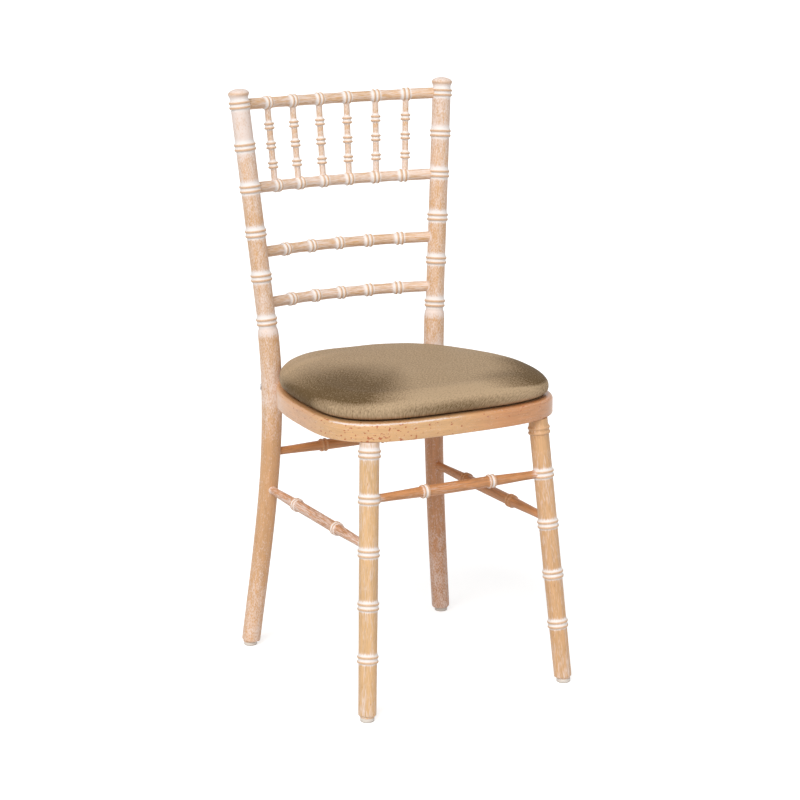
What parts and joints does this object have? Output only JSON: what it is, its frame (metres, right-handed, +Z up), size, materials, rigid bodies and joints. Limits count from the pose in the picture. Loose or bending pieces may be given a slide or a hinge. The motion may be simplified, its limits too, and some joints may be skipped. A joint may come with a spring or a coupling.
{
  "type": "dining chair",
  "caption": "Limed beech dining chair with turned, ringed posts and legs, bowed back rails over upright spindles, a bent seat hoop and a loose cloth-covered seat pad",
  "frame": {"origin": "On the floor, at the middle of the bounding box in plan, with the underside of the glides at z = 0", "axes": "+Z up; +Y from the front of the seat towards the back rest; +X to the right of someone who faces the chair from the front"},
  "size_m": [0.4002, 0.4628, 0.9137],
  "materials": {
    "limed_beech": "beech with white lime wash left in the grooves, satin",
    "natural_beech": "clear satin lacquer over orange-tan beech",
    "plywood": "bare plywood",
    "olive_cloth": "olive-brown woven cloth with a soft sheen",
    "foam": "open-cell foam",
    "hook_and_loop_tape": "black woven tape",
    "zinc_steel": "bright zinc plate",
    "pale_nylon": "pale grey moulded nylon"
  },
  "bodies": {
    "chair_frame": {"rear_post_left": "limed_beech", "rear_post_right": "limed_beech", "front_leg_left": "limed_beech", "front_leg_right": "limed_beech", "side_stretcher_left": "limed_beech", "side_stretcher_right": "limed_beech", "front_stretcher": "limed_beech", "rear_stretcher": "limed_beech", "top_rail": "limed_beech", "spindle_rail": "limed_beech", "middle_rail": "limed_beech", "lower_rail": "limed_beech", "spindle_1": "limed_beech", "spindle_2": "limed_beech", "spindle_3": "limed_beech", "spindle_4": "limed_beech", "spindle_5": "limed_beech", "spindle_6": "limed_beech", "seat_hoop": "natural_beech", "seat_panel": "plywood", "hook_tape_left": "hook_and_loop_tape", "hook_tape_right": "hook_and_loop_tape", "seat_bolt_left": "zinc_steel", "seat_bolt_right": "zinc_steel", "seat_nut_left": "zinc_steel", "seat_nut_right": "zinc_steel", "panel_screw_1": "zinc_steel", "panel_screw_2": "zinc_steel", "panel_screw_3": "zinc_steel", "panel_screw_4": "zinc_steel", "glide_nail_front_left": "zinc_steel", "glide_nail_front_right": "zinc_steel", "glide_nail_rear_left": "zinc_steel", "glide_nail_rear_right": "zinc_steel", "glide_front_left": "pale_nylon", "glide_front_right": "pale_nylon", "glide_rear_left": "pale_nylon", "glide_rear_right": "pale_nylon"},
    "seat_pad": {"pad_board": "plywood", "pad_foam": "foam", "pad_cover": "olive_cloth", "loop_tape_left": "hook_and_loop_tape", "loop_tape_right": "hook_and_loop_tape"}
  },
  "joints": [
    {"name": "pad_lift", "type": "slide", "parent": "chair_frame", "child": "seat_pad", "axis": [0, -0.1961, 0.9806], "range_m": [0, 0.5]}
  ]
}
